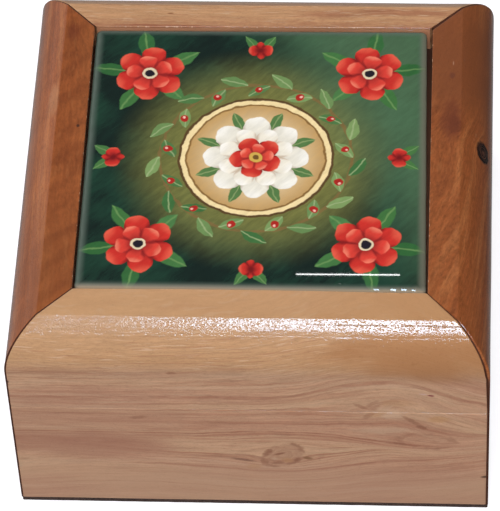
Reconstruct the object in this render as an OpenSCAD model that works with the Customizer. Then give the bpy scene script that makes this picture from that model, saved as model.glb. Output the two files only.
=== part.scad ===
/* [Box] */
// Outside width of the wooden box, left to right
box_w = 66; // [56:1:120]
// Outside depth of the wooden box, front to back
box_d = 66; // [56:1:120]
// Height of the base's walls, from their underside to the seam
base_h = 21.4; // [14:0.2:50]
// Height of the lid, from the seam to the top of its rails
lid_h = 15; // [12:0.5:30]
// Thickness of every wall and rail
wall_t = 8.9; // [8:0.1:14]

/* [Rounded edge] */
// Radius of the rounding along the lid's outer edge
edge_r = 8; // [5:0.5:9.5]
// How much of the rounding's crown the flat top cuts away
edge_cut = 0.8; // [0.2:0.1:1.6]

/* [Picture tile] */
// Thickness of the ceramic tile
tile_t = 4.2; // [3:0.1:5]
// How far the tile's face lies below the top of the rails
tile_sink = 0.2; // [0.1:0.1:1.5]
// Radius of the tile's pillowed edge
tile_edge_r = 0.8; // [0.4:0.1:2]
// Least gap between the tile and the sides of its recess
tile_gap = 0.2; // [0.1:0.05:1]
// Angle in degrees by which the tile sits askew
tile_turn = 0.6; // [0:0.1:2]

/* [Panels] */
// Thickness of the panel that the tile lies on
panel_t = 2.6; // [1.5:0.1:3.5]
// Thickness of the base's floor
floor_t = 3; // [2:0.1:5]
// Depth to which a panel is let into the walls
groove = 3; // [1:0.1:3.5]
// Clearance at a panel's edge in its groove
groove_clear = 0.15; // [0.05:0.05:0.5]

/* [Felt] */
// Thickness of the felt under the base
foot_felt_t = 0.8; // [0.5:0.1:2]
// Inset of the felt from the outer faces of the walls
foot_felt_inset = 0.1; // [0.1:0.1:2]
// Thickness of the lining on the floor
lining_t = 1.2; // [0.6:0.1:2.5]
// Gap around the lining
lining_gap = 0.2; // [0.1:0.1:1]

/* [Hinges] */
// Distance of each hinge from the side of the box
hinge_in = 10; // [7:0.5:12]
// Width of a hinge leaf
leaf_w = 12; // [10:0.5:15]
// Length of a leaf, let into the rim
leaf_l = 6.2; // [5.4:0.1:7.5]
// Thickness of a leaf
leaf_t = 0.6; // [0.4:0.1:1]
// Clearance around a leaf in its mortise
leaf_clear = 0.1; // [0.05:0.05:0.3]
// Outer radius of a knuckle
knuckle_r = 1.3; // [1.1:0.1:1.8]
// Gap between neighbouring knuckles
knuckle_gap = 0.15; // [0.1:0.05:0.4]
// Distance between the knuckles and the back of the box
knuckle_stand = 0.3; // [0.2:0.1:0.8]
// Radius of the hinge pin
pin_r = 0.6; // [0.4:0.05:0.7]
// Clearance between the pin and its bore
pin_clear = 0.05; // [0.02:0.01:0.1]
// Thickness of the pin's rolled heads
pin_head_t = 0.35; // [0.2:0.05:0.8]

/* [Screws] */
// Distance of each screw from the middle of its leaf
screw_x = 3.5; // [2.6:0.1:4.4]
// Radius of a screw's shank
screw_r = 0.6; // [0.4:0.05:0.8]
// Radius of a screw's head
screw_head_r = 1.15; // [0.95:0.05:1.4]
// Length of a screw below its head
screw_l = 5; // [3:0.5:6]
// Clearance around a screw in its hole
screw_clear = 0.03; // [0.02:0.01:0.08]

/* [Closing magnets] */
// Radius of a disc magnet
magnet_r = 2; // [1:0.1:2.8]
// Thickness of a disc magnet
magnet_t = 2; // [1:0.1:3]
// Depth of a magnet's face below its rim
magnet_sink = 0.1; // [0.05:0.05:0.4]
// Clearance around a magnet in its bore
magnet_clear = 0.05; // [0.02:0.01:0.15]

/* [Hidden] */

$fn = 64;
// How far a cutting shape runs past the face that it cuts
over = 1;

// Heights, measured from the surface that the box stands on
base_z = foot_felt_t;
seam_z = base_z + base_h;
panel_top = lid_h - tile_sink - tile_t;
panel_z = seam_z + panel_top - panel_t;
tile_z = panel_z + panel_t;

// Clear width and depth between the walls
inside_w = box_w - 2 * wall_t;
inside_d = box_d - 2 * wall_t;

// Centre of the lid edge's rounding, below the top of the rails
edge_drop = edge_r - edge_cut;

// The hinge axis lies behind the box, level with the seam
axis_out = knuckle_r + knuckle_stand;
axis_y = box_d / 2 + axis_out;
hinge_x = box_w / 2 - hinge_in - leaf_w / 2;
knuckle_l = (leaf_w - 2 * knuckle_gap) / 3;
// A screw sits in the middle of the let-in part of its leaf
screw_in = leaf_l / 2;
screw_tip_l = 1.2;
screw_tip_r = 0.1;
slot_w = 0.3;
slot_depth = 0.25;

// A magnet sits in the middle of the front wall's thickness
magnet_y = -box_d / 2 + wall_t / 2;

heartwood = [0.55, 0.34, 0.2];
palewood = [0.74, 0.54, 0.38];
brass = [0.8, 0.62, 0.3];
steel = [0.72, 0.73, 0.75];
felt_brown = [0.17, 0.11, 0.09];
felt_green = [0.1, 0.22, 0.16];
glaze = [0.12, 0.24, 0.18];

// Section of a base wall, from its outer face inwards, with a rabbet for the floor
module base_section() {
    difference() {
        square([wall_t, base_h]);
        translate([wall_t - groove, -over])
            square([groove + over, floor_t + over]);
    }
}

// Section of a lid rail, with its rounded outer edge and a groove for the panel
module lid_section() {
    difference() {
        square([wall_t, lid_h]);
        difference() {
            translate([-over, lid_h - edge_drop])
                square([edge_r + over, edge_drop + over]);
            translate([edge_r, lid_h - edge_drop])
                circle(edge_r, $fn = 180);
        }
        translate([wall_t - groove, panel_top - panel_t])
            square([groove + over, panel_t]);
    }
}

// A section run along the front of the box and mitred at both ends
module mitred(length, out, height) {
    intersection() {
        rotate([90, 0, 90])
            linear_extrude(length, center = true)
                translate([-out, 0])
                    children();
        linear_extrude(height)
            polygon([
                [-length / 2, -out],
                [length / 2, -out],
                [length / 2 - wall_t, -out + wall_t],
                [-length / 2 + wall_t, -out + wall_t]
            ]);
    }
}

module base_wall_along_x() {
    mitred(box_w, box_d / 2, base_h) base_section();
}

module base_wall_along_y() {
    mitred(box_d, box_w / 2, base_h) base_section();
}

module lid_rail_along_x() {
    mitred(box_w, box_d / 2, lid_h) lid_section();
}

module lid_rail_along_y() {
    mitred(box_d, box_w / 2, lid_h) lid_section();
}

// Moves a shape to the left hinge (-1) or the right one (1), with the origin on its axis
module at_hinge(side) {
    translate([side * hinge_x, axis_y, seam_z]) children();
}

// Repeats a shape at both hinges
module at_hinges() {
    for (side = [-1, 1])
        at_hinge(side) children();
}

// Repeats a shape at both screws of one leaf
module at_screws() {
    for (side = [-1, 1])
        translate([side * screw_x, -axis_out - screw_in, 0])
            children();
}

// Mortise and screw holes that one leaf needs in the lid's back rail, seen from the hinge axis
module leaf_seat() {
    translate([-leaf_w / 2 - leaf_clear, -axis_out - leaf_l - leaf_clear, -over])
        cube([leaf_w + 2 * leaf_clear, leaf_l + leaf_clear + over, leaf_t + over]);
    at_screws()
        cylinder(r = screw_r + screw_clear, h = leaf_t + screw_l + screw_clear);
}

// Blind bore for a magnet, opening at the lid's rim
module magnet_bore() {
    translate([0, magnet_y, -over])
        cylinder(r = magnet_r + magnet_clear, h = magnet_sink + magnet_t + over);
}

module base_front_wall() {
    color(palewood) difference() {
        translate([0, 0, base_z]) base_wall_along_x();
        translate([0, 0, seam_z]) mirror([0, 0, 1]) magnet_bore();
    }
}

module base_back_wall() {
    color(palewood) difference() {
        translate([0, 0, base_z]) rotate(180) base_wall_along_x();
        at_hinges() mirror([0, 0, 1]) leaf_seat();
    }
}

module base_left_wall() {
    color(heartwood) translate([0, 0, base_z]) rotate(-90) base_wall_along_y();
}

module base_right_wall() {
    color(heartwood) translate([0, 0, base_z]) rotate(90) base_wall_along_y();
}

module lid_front_rail() {
    color(palewood) difference() {
        translate([0, 0, seam_z]) lid_rail_along_x();
        translate([0, 0, seam_z]) magnet_bore();
    }
}

module lid_back_rail() {
    color(palewood) difference() {
        translate([0, 0, seam_z]) rotate(180) lid_rail_along_x();
        at_hinges() leaf_seat();
    }
}

module lid_left_rail() {
    color(heartwood) translate([0, 0, seam_z]) rotate(-90) lid_rail_along_y();
}

module lid_right_rail() {
    color(heartwood) translate([0, 0, seam_z]) rotate(90) lid_rail_along_y();
}

// A flat square-cornered board, centred on the box
module board(width, depth, thickness, z) {
    translate([-width / 2, -depth / 2, z]) cube([width, depth, thickness]);
}

// A panel that reaches into the groove on all four sides
module let_in_panel(thickness, z) {
    reach = 2 * (groove - groove_clear);
    board(inside_w + reach, inside_d + reach, thickness, z);
}

module base_floor() {
    color(palewood) let_in_panel(floor_t, base_z);
}

module lid_panel() {
    color(palewood) let_in_panel(panel_t, panel_z);
}

module floor_lining() {
    color(felt_green)
        board(inside_w - 2 * lining_gap, inside_d - 2 * lining_gap, lining_t, base_z + floor_t);
}

module foot_felt() {
    color(felt_brown)
        board(box_w - 2 * foot_felt_inset, box_d - 2 * foot_felt_inset, foot_felt_t, 0);
}

// Side view of the tile: flat underneath, with both upper corners rounded
module tile_section(width) {
    translate([-width / 2, 0]) square([width, tile_t - tile_edge_r]);
    translate([-width / 2 + tile_edge_r, 0]) square([width - 2 * tile_edge_r, tile_t]);
    for (side = [-1, 1])
        translate([side * (width / 2 - tile_edge_r), tile_t - tile_edge_r])
            circle(tile_edge_r);
}

module picture_tile() {
    // Room for the turned tile, and the size that fills it
    room_w = inside_w - 2 * tile_gap;
    room_d = inside_d - 2 * tile_gap;
    along = cos(tile_turn);
    across = sin(tile_turn);
    tile_w = (room_w * along - room_d * across) / (along * along - across * across);
    tile_d = (room_d * along - room_w * across) / (along * along - across * across);
    color(glaze) translate([0, 0, tile_z]) rotate(tile_turn) intersection() {
        rotate([90, 0, 0]) linear_extrude(tile_d, center = true) tile_section(tile_w);
        rotate([90, 0, 90]) linear_extrude(tile_w, center = true) tile_section(tile_d);
    }
}

// Round bar along the hinge axis, centred on x
module bar(r, length, x = 0) {
    translate([x, 0, 0]) rotate([0, 90, 0]) cylinder(r = r, h = length, center = true);
}

// One leaf lying over the seam, with a knuckle at each place in the list
module leaf(places) {
    difference() {
        union() {
            translate([-leaf_w / 2, -axis_out - leaf_l, 0])
                cube([leaf_w, leaf_l, leaf_t]);
            for (x = places) {
                translate([x - knuckle_l / 2, -axis_out - leaf_t, 0])
                    cube([knuckle_l, axis_out + leaf_t, leaf_t]);
                bar(knuckle_r, knuckle_l, x);
            }
        }
        bar(pin_r + pin_clear, leaf_w + 2 * over);
        at_screws() {
            cylinder(r1 = screw_head_r + screw_clear, r2 = screw_r + screw_clear, h = leaf_t);
            translate([0, 0, leaf_t / 2]) cylinder(r = screw_r + screw_clear, h = leaf_t);
        }
    }
}

module lid_leaf() {
    leaf([0]);
}

module base_leaf() {
    step = knuckle_l + knuckle_gap;
    mirror([0, 0, 1]) leaf([-step, step]);
}

// Pin through the three knuckles, riveted over at both ends
module hinge_pin() {
    head_x = (leaf_w + pin_head_t) / 2 + pin_clear;
    bar(pin_r, 2 * head_x);
    for (side = [-1, 1])
        bar((pin_r + knuckle_r) / 2, pin_head_t, side * head_x);
}

// Countersunk slotted screw, its head flush with the seam and its point upwards
module screw() {
    shank_l = screw_l - screw_tip_l;
    slot_l = 2 * screw_head_r + over;
    difference() {
        union() {
            cylinder(r1 = screw_head_r, r2 = screw_r, h = leaf_t);
            translate([0, 0, leaf_t / 2]) cylinder(r = screw_r, h = leaf_t / 2 + shank_l);
            translate([0, 0, leaf_t + shank_l])
                cylinder(r1 = screw_r, r2 = screw_tip_r, h = screw_tip_l);
        }
        translate([0, 0, slot_depth / 2 - over / 2])
            cube([slot_l, slot_w, slot_depth + over], center = true);
    }
}

module base_hinge_screws() {
    color(brass) at_hinges() mirror([0, 0, 1]) at_screws() screw();
}

module lid_hinge_screws() {
    color(brass) at_hinges() at_screws() screw();
}

module left_hinge_base_leaf() {
    color(brass) at_hinge(-1) base_leaf();
}

module left_hinge_lid_leaf() {
    color(brass) at_hinge(-1) lid_leaf();
}

module left_hinge_pin() {
    color(brass) at_hinge(-1) hinge_pin();
}

module right_hinge_base_leaf() {
    color(brass) at_hinge(1) base_leaf();
}

module right_hinge_lid_leaf() {
    color(brass) at_hinge(1) lid_leaf();
}

module right_hinge_pin() {
    color(brass) at_hinge(1) hinge_pin();
}

module magnet(z) {
    translate([0, magnet_y, z]) cylinder(r = magnet_r, h = magnet_t);
}

module base_magnet() {
    color(steel) magnet(seam_z - magnet_sink - magnet_t);
}

module lid_magnet() {
    color(steel) magnet(seam_z + magnet_sink);
}

base_front_wall();
base_back_wall();
base_left_wall();
base_right_wall();
base_floor();
floor_lining();
foot_felt();
lid_front_rail();
lid_back_rail();
lid_left_rail();
lid_right_rail();
lid_panel();
picture_tile();
left_hinge_base_leaf();
left_hinge_lid_leaf();
left_hinge_pin();
right_hinge_base_leaf();
right_hinge_lid_leaf();
right_hinge_pin();
base_hinge_screws();
lid_hinge_screws();
base_magnet();
lid_magnet();
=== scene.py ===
"""Looks of a small hinged rosary box: mitred, lacquered wood with a picture tile in its lid.

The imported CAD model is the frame. The boards, their glue lines, the tile and the felts are
modelled here in its place; panels, hinges, screws and magnets are the CAD's own solids.
"""

import math
from types import SimpleNamespace

import bmesh
import bpy
from mathutils import Matrix, Quaternion, Vector, noise


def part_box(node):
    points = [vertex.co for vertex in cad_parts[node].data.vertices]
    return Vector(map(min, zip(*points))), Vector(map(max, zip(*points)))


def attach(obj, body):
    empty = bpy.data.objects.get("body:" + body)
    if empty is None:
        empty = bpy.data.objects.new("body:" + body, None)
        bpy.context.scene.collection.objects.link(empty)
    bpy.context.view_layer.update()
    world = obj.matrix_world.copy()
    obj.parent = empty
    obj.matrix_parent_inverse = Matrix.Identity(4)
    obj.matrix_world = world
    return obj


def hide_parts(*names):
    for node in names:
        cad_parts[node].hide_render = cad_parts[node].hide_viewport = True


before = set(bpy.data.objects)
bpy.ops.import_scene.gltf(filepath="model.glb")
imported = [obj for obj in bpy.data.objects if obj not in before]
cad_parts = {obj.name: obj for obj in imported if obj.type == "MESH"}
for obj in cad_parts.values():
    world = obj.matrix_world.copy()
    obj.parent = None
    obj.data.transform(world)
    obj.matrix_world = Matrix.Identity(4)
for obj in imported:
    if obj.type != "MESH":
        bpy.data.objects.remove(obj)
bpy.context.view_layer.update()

# Sizes, in millimetres in the frame's coordinates
MM = 0.001


def span(node):
    """Lowest and highest corner of a CAD node at rest."""
    low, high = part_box(node)
    return [value / MM for value in low], [value / MM for value in high]


wall_low, wall_high = span("base_front_wall")
rail_low, rail_high = span("lid_front_rail")
panel_low, panel_high = span("lid_panel")
floor_high = span("base_floor")[1]
tile_low, tile_high = span("picture_tile")
foot_low, foot_high = span("foot_felt")
lining_low, lining_high = span("floor_lining")

half_w = wall_high[0]
half_d = -wall_low[1]
wall_t = wall_high[1] - wall_low[1]
base_z = wall_low[2]
seam_z = rail_low[2]
top_z = rail_high[2]

# The lid's rounded edge, as in the CAD
EDGE_R = 8.0
EDGE_CUT = 0.8
edge_drop = EDGE_R - EDGE_CUT
arris_in = EDGE_R - math.sqrt(EDGE_R**2 - edge_drop**2)

# Small roundings of the boards, and how far from one its outline gets a point that keeps the flat flat
RIM_R = 0.1
ARRIS_R = 0.35
RECESS_R = 0.1
FOOT_R = 0.08
HOLD = 0.12

# How far the boards' faces wander, and how their ends soften: (distance from the end, depth)
WAVE = 0.05
SOFT_END = [(0.0, 0.09), (0.05, 0.035), (0.13, 0.01), (0.3, 0.0)]
BOARD_STEPS = 42

# Half width of the glue in each mitre, at the outer face and at the inner face, and its depth in the joint
GLUE = {
    "front_left": (0.13, 0.07, 0.035),
    "front_right": (0.13, 0.05, 0.05),
    "back_right": (0.15, 0.32, 0.12),
    "back_left": (0.12, 0.14, 0.11),
}

# At this corner the joint lies left of the corner's ridge: by so much on the wall, on the lid's rounded
# edge, which begins at SHIFT_FROM and has it in full at SHIFT_TO, and at the inner face
SHIFTED = "front_right"
SHIFT_WALL = 0.18
SHIFT_EDGE = 0.52
SHIFT_INNER = 0.1
SHIFT_FROM = seam_z + 6.3
SHIFT_TO = seam_z + 8.8

# Corners of the tile's recess, which is not quite square
RECESS = {
    "front_left": (-23.96, -23.87),
    "front_right": (24.37, -23.87),
    "back_right": (24.22, 24.42),
    "back_left": (-24.22, 24.15),
}

# How far each side of the recess bows in towards the tile, at its middle
BOW = {"front": 0.19, "right": 0.0, "back": 0.0, "left": -0.02}

# Corners of the tile, which is not quite square either
TILE = {
    "front_left": (-23.8, -23.6),
    "front_right": (24.17, -23.58),
    "back_right": (23.44, 24.2),
    "back_left": (-23.99, 23.92),
}

# Each side: its turn about the vertical, half its length, how far out its face lies, its two corners
SIDES = {
    "front": (0, half_w, half_d, "front_left", "front_right"),
    "right": (90, half_d, half_w, "front_right", "back_right"),
    "back": (180, half_w, half_d, "back_right", "back_left"),
    "left": (270, half_d, half_w, "back_left", "front_left"),
}


def inset_from(side, x, y):
    """Distance of a point in from a side's outer face."""
    return {"front": y + half_d, "back": half_d - y, "left": x + half_w, "right": half_w - x}[side]


def width_at(side, corner):
    """Width of a side's board at the recess's corner."""
    return inset_from(side, *RECESS[corner])


def slant(side, corner):
    """Run of the mitre along a side for each millimetre into it."""
    other = next(name for name, data in SIDES.items() if corner in data[3:] and name != side)
    return width_at(other, corner) / width_at(side, corner)


def smoothstep(value, low, high):
    t = min(max((value - low) / (high - low), 0.0), 1.0)
    return t * t * (3 - 2 * t)


# Meshes


def new_object(name, verts, faces, material):
    """A mesh object from points in millimetres, smooth but for its sharp edges."""
    mesh = bpy.data.meshes.new(name)
    mesh.from_pydata([Vector(v) * MM for v in verts], [], faces)
    mesh.validate()
    bm = bmesh.new()
    bm.from_mesh(mesh)
    bmesh.ops.recalc_face_normals(bm, faces=bm.faces)
    bm.to_mesh(mesh)
    bm.free()
    obj = bpy.data.objects.new(name, mesh)
    bpy.context.scene.collection.objects.link(obj)
    mesh.materials.append(material)
    smooth(obj)
    return obj


def smooth(obj, angle=40):
    """Smooth shading, but for edges sharper than the angle."""
    obj.data.shade_smooth()
    obj.data.set_sharp_from_angle(angle=math.radians(angle))


def outline(corners, steps=3):
    """Closed outline from corners (u, v, radius). A point beside each rounding keeps the flats flat."""
    points = []
    count = len(corners)
    for i, (u, v, radius) in enumerate(corners):
        here = Vector((u, v))
        if not radius:
            points.append(here)
            continue
        before = Vector(corners[i - 1][:2]) - here
        after = Vector(corners[(i + 1) % count][:2]) - here
        half_angle = before.angle(after) / 2
        reach = radius / math.tan(half_angle)
        to_before, to_after = before.normalized(), after.normalized()
        centre = here + (to_before + to_after).normalized() * radius / math.sin(half_angle)
        start = here + to_before * reach - centre
        end = here + to_after * reach - centre
        swing = start.angle(end)
        if before.length > 4 * (reach + HOLD):
            points.append(here + to_before * (reach + HOLD))
        for step in range(steps + 1):
            t = step / steps
            arm = start * math.sin((1 - t) * swing) + end * math.sin(t * swing)
            points.append(centre + arm / math.sin(swing))
        if after.length > 4 * (reach + HOLD):
            points.append(here + to_after * (reach + HOLD))
    return points


def inward(points):
    """Direction into the board at each point of a clockwise outline."""
    found = []
    count = len(points)
    for i in range(count):
        ahead = (points[(i + 1) % count] - points[i]).normalized()
        behind = (points[i] - points[i - 1]).normalized()
        along = (ahead + behind).normalized()
        found.append(Vector((along.y, -along.x)))
    return found


def turned(turn, out, along, inset, height):
    """A point of a side, from its place along the side, its inset from the outer face and its height."""
    c, s = math.cos(math.radians(turn)), math.sin(math.radians(turn))
    x, y = along, inset - out
    return Vector((x * c - y * s, x * s + y * c, height))


def glue_half(corner, inset):
    """Half width of the glue in a mitre, at an inset from the outer face."""
    outer, inner = GLUE[corner][:2]
    return outer + (inner - outer) * inset / wall_t


def joint_shift(inset, height):
    """How far the shifted corner's joint lies from its ridge."""
    outer = SHIFT_WALL + (SHIFT_EDGE - SHIFT_WALL) * smoothstep(height, SHIFT_FROM, SHIFT_TO)
    return outer + (SHIFT_INNER - outer) * inset / wall_t


def set_back(side, corner, inset, height):
    """How far a board stops short of the corner's ridge."""
    if corner != SHIFTED:
        return glue_half(corner, inset)
    if side == "right":
        return 0.0
    return joint_shift(inset, height) + glue_half(corner, inset)


# Points of an outline further in than this lie at the inner face, which follows the recess above its floor
INNER_FROM = wall_t - 0.5


def board(name, side, points, material, seed, recess_from):
    """One mitred board: its outline run along the side, with softened ends beside the glue lines."""
    turn, half, out, left, right = SIDES[side]
    into = inward(points)
    stations = [(0.0, distance, sink) for distance, sink in SOFT_END]
    stations += [(i / BOARD_STEPS, SOFT_END[-1][0], 0.0) for i in range(1, BOARD_STEPS)]
    stations += [(1.0, distance, sink) for distance, sink in reversed(SOFT_END)]
    slant_left, slant_right = slant(side, left), slant(side, right)
    wide_left, wide_right = width_at(side, left), width_at(side, right)
    rings = []
    for share, distance, sink in stations:
        wide = wide_left + (wide_right - wide_left) * share
        bow = BOW[side] * 4 * share * (1 - share)
        ring = []
        for point, normal in zip(points, into):
            u, v = point
            if v > recess_from and u > INNER_FROM:
                u += wide - wall_t + bow
            start = -(half - u * slant_left - set_back(side, left, u, v)) + distance
            end = half - u * slant_right - set_back(side, right, u, v) - distance
            along = start + (end - start) * share
            calm = smoothstep(min(share, 1 - share), 0.0, 0.08) * smoothstep(abs(v - seam_z), 0.4, 2.5)
            wander = noise.noise(Vector((along / 9, (u + v) / 6, seed * 7.7))) * 0.5 + 0.5
            depth = sink + WAVE * calm * wander
            ring.append(turned(turn, out, along, u + normal.x * depth, v + normal.y * depth))
        rings.append(ring)
    return stacked_rings(name, rings, material)


def lip(name, points, material, recess_from):
    """The right board's sliver between the shifted joint and the corner's ridge, shaped with the front."""
    turn, half, out, left, right = SIDES["front"]
    run = slant("front", right)
    rings = []
    for share, sink in ((0.0, 0.06), (0.2, 0.01), (0.5, 0.0), (0.75, 0.015), (1.0, 0.08)):
        ring = []
        for point, normal in zip(points, inward(points)):
            u, v = point
            if v > recess_from and u > INNER_FROM:
                u += width_at("front", right) - wall_t
            along = half - u * run - (joint_shift(u, v) - glue_half(right, u)) * (1 - share)
            ring.append(turned(turn, out, along, u + normal.x * sink, v + normal.y * sink))
        rings.append(ring)
    return stacked_rings(name, rings, material)


def glue_sheet(name, corner, points, material, recess_from):
    """Thin wedge of glue in one mitre, a little below the surface of the boards."""
    end = 4 if corner == SHIFTED else 3
    side = next(key for key, data in SIDES.items() if data[end] == corner)
    turn, half, out = SIDES[side][:3]
    run = slant(side, corner)
    sink = GLUE[corner][2]
    rings = []
    for way in (-1, 1):
        ring = []
        for point, normal in zip(points, inward(points)):
            spread = glue_half(corner, point.x)
            u = point.x + normal.x * sink
            v = point.y + normal.y * sink
            if point.y > recess_from and point.x > INNER_FROM:
                u += width_at(side, corner) - wall_t
            if corner == SHIFTED:
                along = half - u * run - joint_shift(u, v) + way * spread
                ring.append(turned(turn, out, along, u, v))
            else:
                shift = turned(turn, 0, way * spread * 0.7, -way * spread * 0.7, 0)
                ring.append(turned(turn, out, -(half - u * run), u, v) + shift)
        rings.append(ring)
    return stacked_rings(name, rings, material)


def cut(obj, cutters):
    """Cuts seats out of a board and keeps the result as its mesh."""
    for cutter in cutters:
        modifier = obj.modifiers.new("seat", "BOOLEAN")
        modifier.operation = "DIFFERENCE"
        modifier.solver = "EXACT"
        modifier.object = cutter
    depsgraph = bpy.context.evaluated_depsgraph_get()
    made = bpy.data.meshes.new_from_object(obj.evaluated_get(depsgraph))
    made.name = obj.data.name + "_cut"
    obj.modifiers.clear()
    obj.data = made
    for cutter in cutters:
        bpy.data.objects.remove(cutter)
    smooth(obj)


def block(low, high):
    verts = [(x, y, z) for x in (low[0], high[0]) for y in (low[1], high[1]) for z in (low[2], high[2])]
    faces = [(0, 1, 3, 2), (4, 6, 7, 5), (0, 4, 5, 1), (2, 3, 7, 6), (0, 2, 6, 4), (1, 5, 7, 3)]
    return new_object("cutter", verts, faces, None)


def round_block(x, y, radius, low, high, steps=48):
    turns = [math.tau * i / steps for i in range(steps)]
    verts = [(x + math.cos(a) * radius, y + math.sin(a) * radius, z) for z in (low, high) for a in turns]
    faces = [tuple(range(steps)), tuple(range(steps, 2 * steps))]
    faces += [(i, (i + 1) % steps, (i + 1) % steps + steps, i + steps) for i in range(steps)]
    return new_object("cutter", verts, faces, None)


def rounded_ring(half_x, half_y, radius, per_side, per_corner):
    """Points round a rectangle with round corners, starting at the right end of the front side."""
    arcs = []
    for quarter, (way_x, way_y) in enumerate(((1, -1), (1, 1), (-1, 1), (-1, -1))):
        x, y = way_x * (half_x - radius), way_y * (half_y - radius)
        angles = [math.pi / 2 * (quarter - 1 + i / per_corner) for i in range(per_corner + 1)]
        arcs.append([Vector((x + radius * math.cos(a), y + radius * math.sin(a))) for a in angles])
    points = []
    for arc, after in zip(arcs, arcs[1:] + arcs[:1]):
        points += arc
        points += [arc[-1].lerp(after[0], i / per_side) for i in range(1, per_side)]
    return points


def stacked_rings(name, rings, material):
    """A closed solid through a list of rings of points with the same count."""
    count = len(rings[0])
    verts = [point for ring in rings for point in ring]
    faces = [tuple(range(count)), tuple(range((len(rings) - 1) * count, len(rings) * count))]
    for row in range(len(rings) - 1):
        for i in range(count):
            a = row * count + i
            b = row * count + (i + 1) % count
            faces.append((a, b, b + count, a + count))
    return new_object(name, verts, faces, material)


# Shader nodes


def new_tree(owner):
    owner.use_nodes = True
    owner.node_tree.nodes.clear()
    return owner.node_tree


def plug(tree, value, socket):
    """Links an output to a socket, or sets the socket to a number or colour."""
    output = value.socket if isinstance(value, Value) else value
    if isinstance(output, bpy.types.NodeSocket):
        tree.links.new(output, socket)
    else:
        socket.default_value = output


def add_node(tree, kind, inputs=None, **settings):
    """A node with its settings and its inputs, by name or number."""
    node = tree.nodes.new("ShaderNode" + kind)
    for name, value in settings.items():
        setattr(node, name, value)
    for key, value in (inputs or {}).items():
        plug(tree, value, node.inputs[key])
    return node


def axes(tree, kind):
    """Coordinates of a kind, as outputs X, Y and Z."""
    place = add_node(tree, "TexCoord").outputs[kind]
    return add_node(tree, "SeparateXYZ", {0: place}).outputs


def ramp(tree, value, low, high, at_low, at_high):
    """A smooth rise or fall from at_low, up to the value low, to at_high, from the value high on."""
    inputs = {"Value": value, "From Min": low, "From Max": high, "To Min": at_low, "To Max": at_high}
    return add_node(tree, "MapRange", inputs, interpolation_type="SMOOTHSTEP").outputs["Result"]


def rgba(colour):
    return (*colour, 1.0) if isinstance(colour, tuple) else colour


# Materials are written as formulas: a Value is a number or colour at a point of the surface


def arithmetic(kind, swapped=False):
    """A method of Value for one kind of arithmetic."""

    def apply(self, other):
        first, second = (other, self) if swapped else (self, other)
        return self.pattern.math(kind, first, second)

    return apply


class Value:
    __add__ = arithmetic("ADD")
    __sub__ = arithmetic("SUBTRACT")
    __mul__ = arithmetic("MULTIPLY")
    __truediv__ = arithmetic("DIVIDE")
    __radd__ = arithmetic("ADD", swapped=True)
    __rsub__ = arithmetic("SUBTRACT", swapped=True)
    __rmul__ = arithmetic("MULTIPLY", swapped=True)

    def __init__(self, pattern, socket):
        self.pattern = pattern
        self.socket = socket

    def __abs__(self):
        return self.pattern.math("ABSOLUTE", self)


class Pattern:
    """The nodes of one material, and its colour so far."""

    def __init__(self, name):
        self.material = bpy.data.materials.new(name)
        self.tree = new_tree(self.material)
        self.shader = add_node(self.tree, "BsdfPrincipled")
        add_node(self.tree, "OutputMaterial", {"Surface": self.shader.outputs["BSDF"]})
        self.x, self.y, self.z = (Value(self, socket) / MM for socket in axes(self.tree, "Object"))

    def made(self, kind, inputs, output=0, **settings):
        """The output of a new node."""
        return Value(self, add_node(self.tree, kind, inputs, **settings).outputs[output])

    def math(self, kind, *values):
        return self.made("Math", dict(enumerate(values)), operation=kind)

    def root(self, value):
        return self.math("SQRT", value)

    def smooth(self, value, low, high):
        """0 below low, 1 above high, and a smooth rise between. low may be the larger one."""
        ends = (0.0, 1.0) if low < high else (1.0, 0.0)
        return Value(self, ramp(self.tree, value, min(low, high), max(low, high), *ends))

    def curve(self, value, points):
        """Smooth curve through points (value, result). Both stay between -50 and 50."""
        drawn = self.made("FloatCurve", {"Value": (value + 50.0) / 100.0})
        mapping = drawn.socket.node.mapping
        line = mapping.curves[0]
        for i, (start, result) in enumerate(points):
            place = ((start + 50) / 100, (result + 50) / 100)
            if i < 2:
                line.points[i].location = place
            else:
                line.points.new(*place)
        mapping.update()
        return drawn * 100.0 - 50.0

    def clamp(self, value):
        return self.made("Clamp", {"Value": value})

    def noise(self, x, y, z, detail=2.0, rough=0.5):
        """Smooth noise round 0.5 whose features are about one unit of x, y and z in size."""
        place = self.made("CombineXYZ", {0: x, 1: y, 2: z})
        inputs = {"Vector": place, "Scale": 1.0, "Detail": detail, "Roughness": rough}
        return self.made("TexNoise", inputs, "Fac")

    def mix(self, share, first, second):
        """First where share is 0, second where it is 1. The node's sockets 6 and 7 take its colours."""
        return self.made("Mix", {0: share, 6: rgba(first), 7: rgba(second)}, 2, data_type="RGBA")

    def paint(self, share, colour):
        """Covers the colour so far with another one."""
        self.colour = self.mix(share, self.colour, colour)

    def brighten(self, factor):
        """Multiplies the colour so far."""
        self.colour = self.made("VectorMath", {0: self.colour, "Scale": factor}, operation="SCALE")

    def bump(self, height, depth):
        """A normal that follows a height from 0 to 1, over a depth in millimetres."""
        return self.made("Bump", {"Strength": 1.0, "Distance": depth * MM, "Height": height}, "Normal")

    def finish(self, **sockets):
        """The material, once the shader has its colour and its other inputs."""
        for name, value in dict(sockets, Base_Color=self.colour).items():
            plug(self.tree, value, self.shader.inputs[name.replace("_", " ")])
        return self.material


def bell(p, value, centre, half):
    """1 at the centre, falling softly to 0 about half away from it."""
    return p.smooth(abs(value - centre), half, half * 0.15)


def turned_axes(x, y, angle):
    """Coordinates along and across an axis that is turned by some degrees."""
    a = math.radians(angle)
    return x * math.cos(a) + y * math.sin(a), y * math.cos(a) - x * math.sin(a)


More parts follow.
